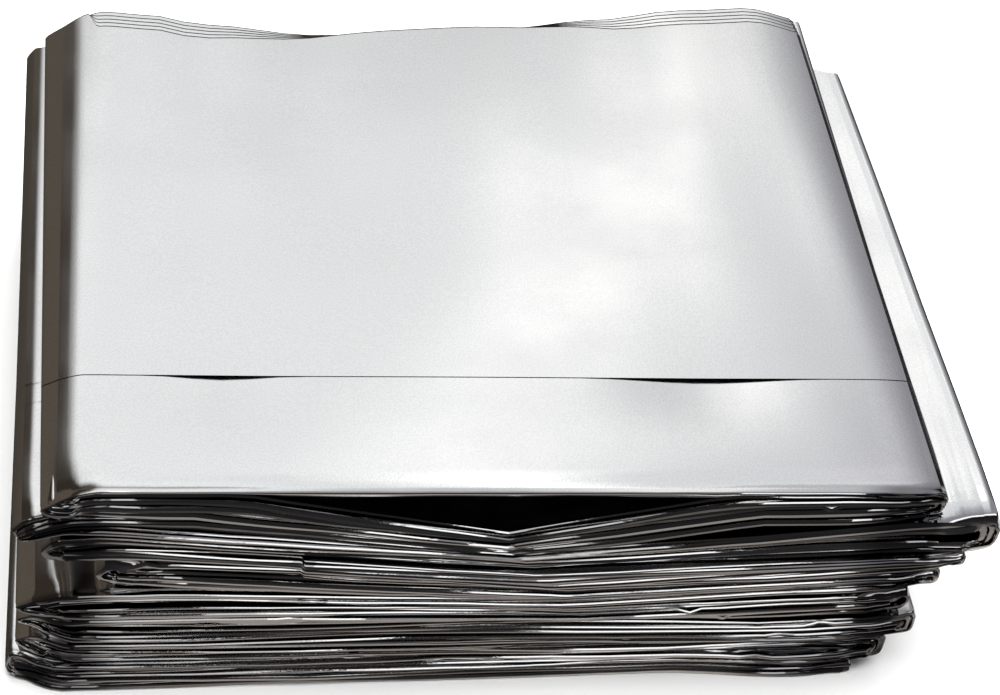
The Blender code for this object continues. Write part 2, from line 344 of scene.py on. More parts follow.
TURN_SHAPES = np.array([
    # left: bulge, rise, fall; right: bulge, rise, fall; from the upper layer down round the fold
    (0.00, 1.00, 0.000, 0.00, 1.00, 0.000),
    (0.12, 1.00, 0.006, 0.42, 1.00, 0.000),
    (0.24, 1.00, 0.023, 0.62, 1.00, -0.010),
    (0.36, 1.00, 0.049, 0.79, 1.00, -0.018),
    (0.58, 1.00, 0.114, 0.86, 1.00, 0.030),
    (0.93, 0.22, 0.000, 1.00, 0.62, 0.000),
    (1.00, 0.00, 0.000, 1.00, 0.00, 0.000),
    (0.95, -0.35, 0.000, 0.97, -0.45, 0.000),
    (0.80, -0.70, 0.000, 0.88, -0.75, 0.000),
    (0.60, -0.86, 0.000, 0.72, -0.90, 0.000),
    (0.38, -0.94, 0.000, 0.50, -0.97, 0.000),
    (0.19, -0.985, 0.000, 0.25, -0.995, 0.000),
])
LEFT_TURNS, RIGHT_TURNS = TURN_SHAPES[:, :3], TURN_SHAPES[:, 3:]
LEFT_CREASES, RIGHT_CREASES = (4, 6), (1, 4, 6)    # steps round a fold where the film is sharply bent
END_CURL_LENGTH = 7.0
END_CURL = 0.40          # the strip's upper free end bends down by this much over that length
END_DROP = 0.5           # and by this much more at its very end


def flat_x(depth):
    """x of each station in the flat part of its layer, at a share of the depth."""
    outermost, reach = end_x(END, depth)
    pivot = outermost - end_side(END) * reach
    towards = lerp(pivot, LAYERS[LAYER, CREASE], SHARE)
    return np.where(KIND == FREE_END, outermost, towards)


NEAR_EDGE_X = flat_x(np.array([[0.0]]))


def pinch_along(x, end, outermost):
    return ENDS[end, PINCH] * smooth(1.0 - np.abs(outermost - x) / PINCH_LENGTH)


def cornered(x, y, near, height, end, place):
    """Draw a height to the middle of the fold at this end and down, close to its near corner."""
    outermost, reach = end_x(end, place)
    pivot = outermost - end_side(end) * reach
    over = np.clip(end - 1, 0, COUNT - 1)
    under = np.clip(end, 0, COUNT - 1)
    middle = 0.5 * (upper_face(over, pivot, y) + lower_face(under, pivot, y))
    close_y = smooth(1.0 - (y - near) / PINCH_DEPTH)
    height = lerp(height, middle, pinch_along(x, end, outermost) * close_y)
    droop = ENDS[end, DROOP] * smooth(1.0 - np.abs(outermost - x) / DROOP_LENGTH)
    return height - droop * np.clip(1.0 - (y - near) / DROOP_DEPTH, 0.0, 1.0) ** DROOP_POWER


FLARED = 3               # this layer's right end stands up a little
FLARE = 0.95             # by this much
FLARE_START, FLARE_END = 64.0, 75.0


def flare_at(x, turned):
    """How far the flared layer stands up; turned goes from 0 at its own film to 1 round the fold.

    It does so wholly for the first third of the way round, and not at all from the middle on.
    """
    height = FLARE * np.clip((x - FLARE_START) / (FLARE_END - FLARE_START), 0.0, 1.0)
    height = height * np.clip(3.0 - 6.0 * turned, 0.0, 1.0)
    return np.where(LAYER == FLARED, height, 0.0)


def flat_part(depth, offset):
    """y, near y, and x and z of the upper and the lower face, where the layers lie flat."""
    place = depth + offset / STRIP_WIDTH
    x = flat_x(place)
    near, far = long_edges(LAYER, x)
    for end in (LAYER, LAYER + 1):
        near, far = draw_in_corners(near, far, end, x, end_x(end, place)[0])
    y = lerp(near, far, depth) + offset
    upper = upper_face(LAYER, x, y)
    lower = lower_face(LAYER, x, y)
    for end in (LAYER, LAYER + 1):
        upper = cornered(x, y, near, upper, end, place)
        lower = cornered(x, y, near, lower, end, place)
    from_end = end_x(np.zeros_like(END), place)[0] - x
    curl = END_CURL * np.clip(1.0 - from_end / END_CURL_LENGTH, 0.0, 1.0) ** 2
    curl = np.where(LAYER == 0, curl + END_DROP * (KIND == FREE_END), 0.0)
    flare = flare_at(x, 0.0)
    return y, near, x, upper - curl + flare, x, lower - curl + flare


def turn_part(depth, offset):
    """y, near y, and x and z of the outer and the inner face, where the film goes round a fold."""
    place = depth + offset / STRIP_WIDTH
    outermost, reach = end_x(END, place)
    side = end_side(END)
    pivot = outermost - side * reach
    turned = STEP / STEPS_IN_TURN
    shape = np.where(side[..., None] < 0.0, LEFT_TURNS[STEP], RIGHT_TURNS[STEP])
    bulge, rise, fall = side * shape[..., 0], shape[..., 1], reach * shape[..., 2]
    outer_x = pivot + bulge * reach

    near_a, far_a = long_edges(LAYER, pivot)
    near_b, far_b = long_edges(BELOW, pivot)
    near, far = lerp(near_a, near_b, turned), lerp(far_a, far_b, turned)
    near, far = draw_in_corners(near, far, END, outer_x, outermost)
    y = lerp(near, far, depth) + offset

    top = upper_face(LAYER, pivot, y)
    slit_top = lower_face(LAYER, pivot, y)
    slit_bottom = upper_face(BELOW, pivot, y)
    bottom = lower_face(BELOW, pivot, y)
    wall = 0.5 * (top - slit_top + slit_bottom - bottom)
    inner_x = pivot + bulge * np.maximum(SLIT_REACH, reach - wall)
    flare = flare_at(outer_x, turned)
    outer = 0.5 * (top + bottom) + 0.5 * (top - bottom) * rise - fall + flare
    inner = 0.5 * (slit_top + slit_bottom) + 0.5 * (slit_top - slit_bottom) * rise - fall + flare
    outer = cornered(outer_x, y, near, outer, END, place)
    inner = cornered(inner_x, y, near, inner, END, place)
    return y, near, outer_x, outer, inner_x, inner


def section(depth, offset):
    """Both faces of the strip at each station: y, near y, then (x, z) of face A and of face B.

    depth is a share of the strip's width, and offset is added to y in millimetres.
    """
    depth = np.broadcast_to(depth, (len(STATIONS), depth.shape[-1]))
    parts = zip(turn_part(depth, offset), flat_part(depth, offset))
    y, near, outer_x, outer_z, inner_x, inner_z = [np.where(KIND == TURN, *both) for both in parts]
    face_a = np.where(FLIPPED, inner_x, outer_x), np.where(FLIPPED, inner_z, outer_z)
    face_b = np.where(FLIPPED, outer_x, inner_x), np.where(FLIPPED, outer_z, inner_z)
    return y, near, face_a, face_b


# ---------------------------------------------------------------- the plies across the strip

FREE_EDGE_Y = 23.4       # the outermost ply ends this far in from the open edge
NEAR_FOLDS = 5
FAR_FOLDS = 5
PLIES = 11
OUTER_SHARES = (0.26, 0.31, 0.38, 0.46, 0.54, 0.62, 0.70, 0.78, 0.86, 0.93)     # of the first ply
INNER_SHARES = (0.10, 0.24, 0.45, 0.70, 0.92)                                   # of the last one
FLAP_STEPS = (1.3, 2.6, 4.6, 7.4, 11.0, 15.0, 19.0, 22.4, 24.6, 28.0)    # from the first near fold
DEEP_STEP = 4.2          # from the others
RIM_STEP = 1.3           # the last ply has one more point here, so that only its rim is pinched
FAR_TIP = 0.3            # a far fold's plies are bent over this last stretch
SHEET_GAP = 0.1          # the outermost ply lies this far above the one that shows beyond its edge
MIDDLE_SHARE = 0.5       # where the hidden plies have their one point between the long edges
SUNK_SHARE = 0.4         # the top layer's hidden plies lie low, clear of the slits above them

WIDE_NOSE = (
    # height in the fold, drop below it in mm, inward from its tip
    (1.00, 0.16, 1.10),
    (1.00, 0.00, 0.28),
    (1.00, 0.145, 0.08),
    (0.50, 0.00, 0.00),
    (0.12, 0.00, 0.06),
    (0.00, 0.00, 0.90),
)
MEDIUM_NOSE = (
    (1.00, 0.11, 0.80),
    (1.00, 0.00, 0.19),
    (1.00, 0.10, 0.05),
    (0.25, 0.00, 0.00),
    (0.00, 0.00, 0.80),
)
NARROW_NOSE = (
    (1.00, 0.06, 0.70),
    (1.00, 0.00, 0.11),
    (1.00, 0.06, 0.028),
    (0.25, 0.00, 0.00),
    (0.00, 0.00, 0.70),
)
NOSE_DEPTH = 1.1         # no nose is deeper than this
BLEND_DEPTH = 3.0        # and over this much behind it, the plies spread to their own levels
BLEND_SHARE = 0.6        # by this share, or wholly in the top layer
DULL_LENGTH = 17.0       # the bevels along the creases fade away over this much at a fold's end
BEVEL_END = 0.5          # and they are no further in than this
USUAL_THICKNESS = 2.4    # turns millimetres into levels between a layer's faces
FOLDS = (
    # share of the layer's thickness in the upper layers, and in the lower ones, and profile
    (0.42, 0.30, WIDE_NOSE),
    (0.10, 0.14, NARROW_NOSE),
    (0.32, 0.26, WIDE_NOSE),
    (0.08, 0.13, NARROW_NOSE),
    (0.16, 0.17, MEDIUM_NOSE),
)
LEAN_TOP, LEAN_BOTTOM = 0.70, -0.40    # how far back a fold leans over a layer's whole thickness
LEAN_AT_ENDS = 0.95                    # and at the layers' ends
FRONT_BOTTOM, FRONT_TOP = 0.05, 0.8    # a nose's points between these heights sway

INSIDE, NEAR, FAR = 0, 1, 2
PLACE, FOLD, PLY, ACROSS, INWARD, HEIGHT, DROP, BENT, TWIN_STEP = range(9)


def ring_point(place, fold, ply, across=0.0, inward=0.0, height=0.0, drop=0.0, bent=0, twin_step=0):
    return place, fold, ply, across, inward, height, drop, bent, twin_step


def make_ring():
    """The film's path across the strip, with a column for each of the names from PLACE to TWIN_STEP.

    ACROSS is the share of the strip's width. INWARD is the distance in from the fold's tip, HEIGHT
    goes from 1 at a near fold's ply on face A's side to 0 at its other ply, DROP is how far below
    that the point lies, and BENT is 1 where the film is sharply bent. TWIN_STEP is how many rows
    further on the point is whose place it takes where face A is down.
    """
    rows = [ring_point(INSIDE, 0, 0, inward=FREE_EDGE_Y)]
    rows += [ring_point(INSIDE, 0, 0, share) for share in OUTER_SHARES]
    for fold in range(NEAR_FOLDS):
        upper, lower = 2 * fold + 1, 2 * fold + 2
        is_last = lower == PLIES - 1
        rows += far_fold(fold, upper - 1)
        rows.append(ring_point(INSIDE, 0, upper, MIDDLE_SHARE))
        steps = FLAP_STEPS if fold == 0 else (DEEP_STEP,)
        rows += [ring_point(NEAR, fold, upper, inward=step, height=1.0) for step in reversed(steps)]
        rows += near_fold(fold, upper, lower)
        steps = (RIM_STEP, DEEP_STEP) if is_last else (DEEP_STEP,)
        rows += [ring_point(NEAR, fold, lower, inward=step) for step in steps]
        if not is_last:
            rows.append(ring_point(INSIDE, 0, lower, MIDDLE_SHARE))
    rows += [ring_point(INSIDE, 0, PLIES - 1, share) for share in INNER_SHARES]
    rows.append(ring_point(FAR, FAR_FOLDS, PLIES - 1, 1.0))
    return np.array(rows, float)


def near_fold(fold, upper, lower):
    nose = FOLDS[fold][-1]
    last = len(nose) - 1
    rows = []
    for point, (height, drop, inward) in enumerate(nose):
        ply = upper if point <= last // 2 else lower
        bent = 0 < point < last
        rows.append(ring_point(NEAR, fold, ply, 0.0, inward, height, drop, bent, last - 2 * point))
    return rows


def far_fold(fold, ply):
    return [ring_point(FAR, fold, ply, 1.0, FAR_TIP, bent=1),
            ring_point(FAR, fold, ply, 1.0),
            ring_point(FAR, fold, ply + 1, 1.0, FAR_TIP, bent=1)]


RING = make_ring()
R_PLACE, R_FOLD, R_PLY = [RING[:, column].astype(int) for column in (PLACE, FOLD, PLY)]
R_SHARE = RING[None, :, ACROSS]
R_BENT = RING[:, BENT] > 0
ON_NOSE = (R_PLACE == NEAR) & (RING[:, INWARD] <= NOSE_DEPTH)
ON_FLAP = (R_PLACE == NEAR) & (R_FOLD == 0) & (R_PLY == 1) & ~ON_NOSE
ON_FAR_TIP = (R_PLACE == FAR) & (RING[:, INWARD] == 0.0) & (R_FOLD < FAR_FOLDS)
HIDDEN = (R_PLACE == INSIDE) & (R_PLY > 0) & (R_PLY < PLIES - 1)
TWIN = np.arange(len(RING)) + RING[:, TWIN_STEP].astype(int)
UPSIDE_DOWN = np.abs(FLIPPED - np.where(KIND == TURN, STEP / STEPS_IN_TURN, 0.0))


def by_upper_side(column, flip=0.0, sign=1.0):
    """A ring column where face A is up, blended into its twin's turned value where face A is down."""
    here = RING[None, :, column]
    twin = np.where(ON_NOSE, flip + sign * RING[None, TWIN, column], here)
    return lerp(here, twin, UPSIDE_DOWN)


R_INWARD = by_upper_side(INWARD)
R_HEIGHT = by_upper_side(HEIGHT, 1.0, -1.0)
R_DROP = by_upper_side(DROP, 0.0, -1.0)
STANDS = np.where(FLIPPED, 1.0 - R_HEIGHT, R_HEIGHT)     # height in the fold, from 0 below to 1 above
ON_FRONT = ON_NOSE & (STANDS > FRONT_BOTTOM) & (STANDS < FRONT_TOP)
NEAR_FOLD = np.minimum(R_FOLD, NEAR_FOLDS - 1)

SEED = 20261124
SETBACK_SPREAD = 0.9     # each fold is drawn in by a random amount up to this, and by its usual one
USUAL_SETBACKS = (0.0, 0.6, 0.1, 0.8, 0.4)
TOP_SETBACKS = (0.0, 0.5, 0.3, 0.7, 0.6)     # the top layer's
rng = np.random.default_rng(SEED)
NEAR_SETBACK = rng.uniform(0.0, SETBACK_SPREAD, (COUNT, NEAR_FOLDS)) + USUAL_SETBACKS
NEAR_SETBACK[0] = TOP_SETBACKS

LEAST_STEP = 0.3         # even where two stations have the same x


def path_length():
    """Rough distance along the strip at each station, for noise that follows the strip."""
    x = NEAR_EDGE_X[:, 0]
    return np.cumsum(np.abs(np.diff(x, prepend=x[0])) + LEAST_STEP)


ALONG = path_length()[:, None]


def along(size, seed, kinked=True):
    """Runs of about this length along the strip, from -1 to 1."""
    return noise(ALONG, 0.0, 0.0, (size, 1.0, 1.0), seed, kinked)


def along_each_point(size, growth, seed):
    """Such runs for every ring point, each point's a little longer than those of the one before."""
    runs = [along(size + growth * column, seed + column) for column in range(len(RING))]
    return np.concatenate(runs, axis=1)


BAND_SWAY, BAND_RUN, BAND_SEED = 0.30, 38.0, 3
UPPER_BANDS, BAND_CHANGE = 4.0, 8.0    # the shares change to the lower ones over these layers


def fold_bands():
    """Upper and lower level of each near fold, from 1 on face A to 0 on face B, for each station."""
    lowness = smooth((LAYER - UPPER_BANDS) / BAND_CHANGE)
    widths = [lerp(high, low, lowness) * np.exp(BAND_SWAY * along(BAND_RUN, BAND_SEED + fold))
              for fold, (high, low, _) in enumerate(FOLDS)]
    widths = np.concatenate(widths, axis=1)
    widths = widths / widths.sum(axis=1, keepdims=True)
    lower = 1.0 - np.cumsum(widths, axis=1)
    return lower + widths, lower


SETBACK_SWAYS = (
    # amount, run, seed
    (0.50, 31.0, 20),
    (0.10, 9.0, 30),
)
TOP_EDGE_SWAY = 0.12     # the uppermost fold sways by only this share of it


def near_setbacks():
    """How far each near fold is drawn in, station by station, in millimetres."""
    columns = []
    for fold in range(NEAR_FOLDS):
        sway = sum(amount * along(run, seed + fold) for amount, run, seed in SETBACK_SWAYS)
        quiet = np.where((LAYER == 0) & (fold == 0), TOP_EDGE_SWAY, 1.0)
        columns.append(np.maximum(0.0, NEAR_SETBACK[LAYER, fold] + quiet * sway))
    return np.concatenate(columns, axis=1)


def knot_amounts():
    """How far the knots draw in and lift the ring points of their own folds."""
    drawn_in, lift = 0.0, 0.0
    for knot in KNOTS:
        here = (LAYER == knot[KNOT_LAYER]) & (NEAR_FOLD == knot[KNOT_FOLD]) & (R_PLACE == NEAR)
        closeness = 1.0 - np.abs(NEAR_EDGE_X - knot[KNOT_X]) / knot[KNOT_HALF]
        hill = np.where(here, np.maximum(0.0, closeness), 0.0)
        drawn_in = drawn_in + hill * knot[KNOT_IN]
        lift = lift + hill * knot[KNOT_LIFT]
    return drawn_in, lift


FAN_STEPS = (4, 3, 2, 1, 0, 0)       # by so many steps each far fold is short of the far edge
FAN_STEP = 1.2           # at the top layer's far corners
FAN_LEAST = 0.1          # and between those corners
FAN_LEFT, FAN_RIGHT, FAN_LENGTH = -9.0, 6.0, 36.0    # the fans open from here on, over this length
FAN_END, FAN_END_LENGTH = -60.4, 2.0   # and the left one closes again at the very end
FAN_FOLLOWS = 0.8        # share of the fan in the layers below the top one
FAN_LAYERS = 2           # so many of them
TOP_FAN_GAP = 0.05       # levels between the top layer's plies at the far edge
FAR_SWAY, FAR_RUN, FAR_SEED = 0.6, 40.0, 50


def far_setbacks():
    """How far each far fold is short of the layer's far edge: a fan at the top layer's corners."""
    x = flat_x(np.array([[MIDDLE_SHARE]]))
    corners = np.maximum(smooth((FAN_LEFT - x) / FAN_LENGTH), smooth((x - FAN_RIGHT) / FAN_LENGTH))
    corners = corners * smooth((x - FAN_END) / FAN_END_LENGTH)
    columns = []
    for fold in range(FAR_FOLDS + 1):
        fan = FAN_STEPS[fold] * lerp(FAN_LEAST, FAN_STEP, corners)
        sway = FAR_SWAY + FAR_SWAY * along(FAR_RUN, FAR_SEED + fold, kinked=False)
        below = np.where(LAYER <= FAN_LAYERS, lerp(sway, fan, FAN_FOLLOWS), sway)
        columns.append(np.where(LAYER == 0, fan, below))
    return np.concatenate(columns, axis=1)


def away_from_ends():
    """0 at a layer's ends, rising to 1 some way in: the creases are dull at the folds' near corners."""
    nearest = [np.abs(ENDS[end, NEAR_X] - NEAR_EDGE_X) for end in (LAYER, LAYER + 1)]
    return smooth(np.minimum(*nearest) / DULL_LENGTH)


HEIGHT_SWAY, HEIGHT_RUN, HEIGHT_GROWTH, HEIGHT_SEED = 0.06, 24.0, 1.7, 200
INWARD_SWAY, INWARD_RUN, INWARD_GROWTH, INWARD_SEED = 0.15, 21.0, 1.3, 400
UPPER_LEANS, LEAN_CHANGE = 2.0, 10.0   # the lean changes to the lower one over these layers


def nose_heights():
    """Heights in the near folds, where each nose's middle points sway along the strip."""
    sway = along_each_point(HEIGHT_RUN, HEIGHT_GROWTH, HEIGHT_SEED)
    return R_HEIGHT + HEIGHT_SWAY * sway * ON_FRONT


def nose_sways(thickness):
    """How far each point of a nose stands further in or out than its profile says."""
    sway = along_each_point(INWARD_RUN, INWARD_GROWTH, INWARD_SEED)
    lean = lerp(LEAN_TOP, LEAN_BOTTOM, smooth((LAYER - UPPER_LEANS) / LEAN_CHANGE))
    lean = lerp(LEAN_AT_ENDS, lean, away_from_ends())
    swayed = INWARD_SWAY * sway * ON_FRONT
    return (swayed + lean * STANDS * (ON_NOSE & R_BENT)) * thickness


def squashed():
    """How much smaller the noses are where their fold's near corner is pinched."""
    pinches = [pinch_along(NEAR_EDGE_X, end, ENDS[end, NEAR_X]) for end in (LAYER, LAYER + 1)]
    return np.where(ON_NOSE, 1.0 - np.maximum(*pinches), 1.0)


def levels(upper, lower):
    """Each ring point's level between the faces, 1 on face A and 0 on face B."""
    own = 1.0 - R_PLY[None, :] / (PLIES - 1.0)
    sunk_own = np.where(LAYER == 0, SUNK_SHARE * own, own)
    drop = R_DROP / USUAL_THICKNESS * np.where(R_INWARD > BEVEL_END, 1.0, away_from_ends())
    near = lerp(lower[:, NEAR_FOLD], upper[:, NEAR_FOLD], nose_heights()) - drop
    blend = np.where(LAYER == 0, 1.0, BLEND_SHARE) * smooth((R_INWARD - NOSE_DEPTH) / BLEND_DEPTH)
    near = np.where(ON_FLAP, 1.0, lerp(near, sunk_own, blend))
    fan_gap = np.where(LAYER == 0, TOP_FAN_GAP, 1.0 / (PLIES - 1.0))
    far = 1.0 - fan_gap * (R_PLY[None, :] + np.where(ON_FAR_TIP, 0.5, 0.0))
    inside = np.where(HIDDEN, sunk_own, own)
    return np.where(R_PLACE == NEAR, near, np.where(R_PLACE == FAR, far, inside))


FADE_LENGTH = 7.0        # setbacks and knots fade away over about this much behind the near folds
TOP_EDGE_CALM = 0.25     # the uppermost fold's points stray by only this share


def film_points():
    """The film's points in millimetres, one row for each station."""
    upper, lower = fold_bands()
    near_in = near_setbacks()[:, NEAR_FOLD]
    far_in = far_setbacks()[:, R_FOLD]
    knot_in, knot_lift = knot_amounts()
    fade = np.exp(-R_INWARD / FADE_LENGTH)
    calm = np.where((LAYER == 0) & (R_FOLD == 0), TOP_EDGE_CALM, 1.0)
    thickness = (upper - lower)[:, NEAR_FOLD]
    profile = (R_INWARD + calm * nose_sways(thickness)) * squashed()
    near_offset = (near_in + knot_in) * fade + profile
    offset = np.where(R_PLACE == NEAR, near_offset,
                      np.where(R_PLACE == FAR, -far_in - R_INWARD, R_INWARD))
    y, near, face_a, face_b = section(R_SHARE, offset)
    level = levels(upper, lower)
    x = lerp(face_b[0], face_a[0], level)
    z = lerp(face_b[1], face_a[1], level) + knot_lift * fade
    return with_details(x, y, z, near)


SLITS = (
    # x, half width, gap
    (-39.9, 11.5, 0.42),
    (33.2, 19.0, 0.50),
)
SLIT_Y = FREE_EDGE_Y + 1.0
SLIT_DEPTH = 20.0        # the film below a slit is pressed in over this much of y to either side
WAVES = (
    # height, x size, y size, seed
    (0.26, 38.0, 32.0, 71),
    (0.06, 16.0, 14.0, 72),
)
WAVES_NEAR, WAVES_FAR = 14.0, 25.0     # the waves fade away over this much at the long edges
WAVES_END, WAVES_END_LENGTH = 60.0, 8.0      # and at the ends
CRUMPLES = (
    # share, size, seed for height, seed for y
    (1.0, 2.8, 81, 83),
    (0.5, 1.3, 82, 84),
)
CRUMPLE_FLATNESS = 0.8
SEED_UP, SEED_IN = 2, 3              # the columns of their seeds
CRUMPLE_UP, CRUMPLE_IN = 0.6, 1.1    # how much of a crumple goes up or down, and in or out
CORNER_CRUMPLE, EDGE_CRUMPLE = 0.26, 0.05
EDGE_DEPTH = 6.0         # the crumples fade away over this much in from the near edge
CORNER_LENGTH = 14.0     # and those of the folds' near corners over this much of x
CORNER_DEPTH, UPPER_CORNER_DEPTH = 9.0, 2.5      # and of y
UPPER_CORNERS = 4        # so many layers have the shallower crumpled corners


def slit_gap(x, y):
    """How far the uppermost ply lies above the film below it."""
    gap = sum(depth * bump(x, centre, half) for centre, half, depth in SLITS)
    return gap * smooth(1.0 - np.abs(y - SLIT_Y) / SLIT_DEPTH) + SHEET_GAP


def top_waves(x, y, inward):
    """Gentle waves in the top layer, none close to its edges."""
    waves = sum(height * noise(x, y, 0.0, (x_size, y_size, 1.0), seed)
                for height, x_size, y_size, seed in WAVES)
    quiet = smooth(inward / WAVES_NEAR) * smooth((LAYERS[0, FAR_LEFT] - y) / WAVES_FAR)
    return waves * quiet * smooth((WAVES_END - np.abs(x)) / WAVES_END_LENGTH)


def crumples(x, y, z, seed_column):
    """Fine straight-sided dents, from about -1.5 to 1.5."""
    total = 0.0
    for row in CRUMPLES:
        share, size, seed = row[0], row[1], row[seed_column]
        sizes = (size, size, CRUMPLE_FLATNESS * size)
        total = total + share * noise(x, y, z, sizes, seed, kinked=True)
    return total


def corner_closeness(x, y, near):
    """1 at a fold's near corner, falling to 0 a few millimetres away."""
    deep = np.where(LAYER < UPPER_CORNERS, UPPER_CORNER_DEPTH, CORNER_DEPTH)
    from_ends = [np.abs(ENDS[end, NEAR_X] - x) for end in (LAYER, LAYER + 1)]
    close_x = [smooth(1.0 - from_end / CORNER_LENGTH) for from_end in from_ends]
    return np.maximum(*close_x) * smooth(1.0 - (y - near) / deep)


def with_details(x, y, z, near):
    """The slits, the top's waves and the crumples, added to the folded film's own shape."""
    inward = y - near
    top_layer = (LAYER == 0)
    z = z - np.where(top_layer & ON_FLAP, slit_gap(x, y), 0.0)
    z = z + np.where(top_layer, top_waves(x, y, inward), 0.0)
    edge_closeness = smooth(1.0 - inward / EDGE_DEPTH)
    amount = CORNER_CRUMPLE * corner_closeness(x, y, near) + EDGE_CRUMPLE * edge_closeness
    up, back = crumples(x, y, z, SEED_UP), crumples(x, y, z, SEED_IN)
    return x, y + CRUMPLE_IN * amount * back, z + CRUMPLE_UP * amount * up


# ---------------------------------------------------------------- building the film

FLOOR_CLEARANCE = 0.02


def build_film():
    x, y, z = film_points()
    z = np.maximum(z, FLOOR_CLEARANCE)
    points = np.stack([x - MIDDLE_X, y - MIDDLE_Y, z], axis=-1) * MM
    rows, columns = points.shape[:2]
    corner = np.arange((rows - 1) * columns).reshape(rows - 1, columns)[:, :-1].ravel()
    faces = np.stack([corner, corner + columns, corner + columns + 1, corner + 1], axis=1)
    mesh = bpy.data.meshes.new("foil_film")
    mesh.from_pydata(points.reshape(-1, 3).tolist(), [], faces.tolist())
    mesh.shade_smooth()
    mark_creases(mesh, columns)
    film = bpy.data.objects.new("foil_film", mesh)
    bpy.context.collection.objects.link(film)
    return film


def mark_creases(mesh, columns):
    """Keep the shading sharp where the film is sharply bent, along the strip and across it."""
    ends = np.empty(2 * len(mesh.edges), int)
    mesh.edges.foreach_get("vertices", ends)
    ends = ends.reshape(-1, 2)
    column, row = ends % columns, ends // columns
    left_bent, right_bent = np.isin(STEP, LEFT_CREASES), np.isin(STEP, RIGHT_CREASES)
    in_turn = (KIND == TURN) & np.where(end_side(END) < 0.0, left_bent, right_bent)
    beside_free_end = np.roll(KIND == FREE_END, 1) | np.roll(KIND == FREE_END, -1)
    bent_row = (in_turn | beside_free_end)[:, 0]
    sharp = (column[:, 0] == column[:, 1]) & R_BENT[column[:, 0]]
    sharp |= (row[:, 0] == row[:, 1]) & bent_row[row[:, 0]]
    mesh.attributes.new("sharp_edge", "BOOLEAN", "EDGE").data.foreach_set("value", sharp)


# ---------------------------------------------------------------- finish


class Nodes:
    """Short calls for building a material's or the world's nodes."""

    def __init__(self, owner):
        owner.use_nodes = True
        self.tree = owner.node_tree

    def add(self, kind, **settings):
        node = self.tree.nodes.new(kind)
        for name, value in settings.items():
            setattr(node, name, value)
        return node

    def join(self, source, target):
        self.tree.links.new(source, target)

    def math(self, operation, *values):
        node = self.add("ShaderNodeMath", operation=operation)
        for socket, value in zip(node.inputs, values):
            self.give(socket, value)
        return node.outputs["Value"]

    def give(self, socket, value):
        if isinstance(value, bpy.types.NodeSocket):
            self.join(value, socket)
        else:
            socket.default_value = value

    def coordinates(self, kind):
        """Coordinates of this kind, as a vector and as x, y and z."""
        place = self.add("ShaderNodeTexCoord").outputs[kind]
        split = self.add("ShaderNodeSeparateXYZ")
        self.join(place, split.inputs["Vector"])
        return place, *split.outputs

    def ranged(self, value, low, high, to_low=0.0, to_high=1.0, steps="SMOOTHSTEP"):
        """Go from to_low to to_high as value goes from low to high, eased or in the way steps names."""
        node = self.add("ShaderNodeMapRange", interpolation_type=steps)
        for name, number in (("Value", value), ("From Min", low), ("From Max", high),
                             ("To Min", to_low), ("To Max", to_high)):
            self.give(node.inputs[name], number)
        return node.outputs["Result"]

    def stretched_noise(self, place, sizes, detail=2.0, roughness=0.5):
        """Noise from 0 to 1 whose features have these sizes in metres."""
        scale = self.add("ShaderNodeVectorMath", operation="MULTIPLY")
        self.join(place, scale.inputs[0])
        scale.inputs[1].default_value = [1.0 / size for size in sizes]
        node = self.add("ShaderNodeTexNoise")
        self.join(scale.outputs["Vector"], node.inputs["Vector"])
        node.inputs["Scale"].default_value = 1.0
        node.inputs["Detail"].default_value = detail
        node.inputs["Roughness"].default_value = roughness
        return node.outputs["Fac"]

    def scaled(self, colour, factor):
        node = self.add("ShaderNodeVectorMath", operation="SCALE")
        self.join(colour, node.inputs["Vector"])
        self.join(factor, node.inputs["Scale"])
        return node.outputs["Vector"]

    def mixed(self, share, first, second):
        node = self.add("ShaderNodeMix", data_type="RGBA")
        self.join(share, node.inputs["Factor"])
        self.give(node.inputs["A"], first)
        self.give(node.inputs["B"], second)
        return node.outputs["Result"]

    def bump(self, height, distance, strength, under=None):
        node = self.add("ShaderNodeBump")
        self.join(height, node.inputs["Height"])
        node.inputs["Distance"].default_value = distance
        self.give(node.inputs["Strength"], strength)
        if under is not None:
            self.join(under, node.inputs["Normal"])
        return node.outputs["Normal"]

    def ramp(self, value, stops):
        """A colour for each value from 0 to 1; stops are places and their colours."""
        node = self.add("ShaderNodeValToRGB")
        self.join(value, node.inputs["Fac"])
        elements = node.color_ramp.elements
        while len(elements) < len(stops):
            elements.new(0.5)
        for element, (place, colour) in zip(elements, stops):
            element.position = place
            element.color = (*colour, 1.0)
        return node.outputs["Color"]


# In metres from the origin, on the floor. Each pair is where a look begins and where it is whole.
SHARP_EDGE_Y = (-0.0490, -0.0515)
STREAKED_END_X = (0.0605, 0.0640)
# Painted shade: these pairs mark the folds' near corners, where the film's base colour is darkened to
# stand in for their dim reflections.
PAINTED_SHADE_Y = (-0.0530, -0.0543)
PAINTED_SHADE_LEFT_X = (-0.0550, -0.0625)
PAINTED_SHADE_RIGHT_X, PAINTED_SHADE_RIGHT_LIMIT = (0.0500, 0.0580), (0.0655, 0.0640)
PAINTED_SHADE_LOW_X, PAINTED_SHADE_LOW_Z = (0.0360, 0.0440), (0.0110, 0.0080)
EDGE_STREAKS = (0.16, 0.8, 0.0007)       # sizes of each noise's features along x, y and z
END_STREAKS = (0.0016, 0.10, 0.0016)
GRAIN = (0.0003, 0.0003, 0.0003)
PATCHES = (0.030, 0.022, 0.030)
STREAK_DEPTH, EDGE_STREAK_STRENGTH, END_STREAK_STRENGTH = 0.0004, 0.05, 0.06
GRAIN_DEPTH, GRAIN_STRENGTH = 0.00002, 0.15
PATCH_RANGE, GRAIN_RANGE = (0.3, 0.7), (0.35, 0.65)      # the parts of the noises that are used
SMOOTHEST, ROUGHEST = 0.14, 0.20
SHARP_EDGE_ROUGHNESS = -0.10             # added at the near edge
DARK_GRAIN = (0.845, 0.845, 0.85, 1.0)
PALE_GRAIN = (0.905, 0.905, 0.90, 1.0)
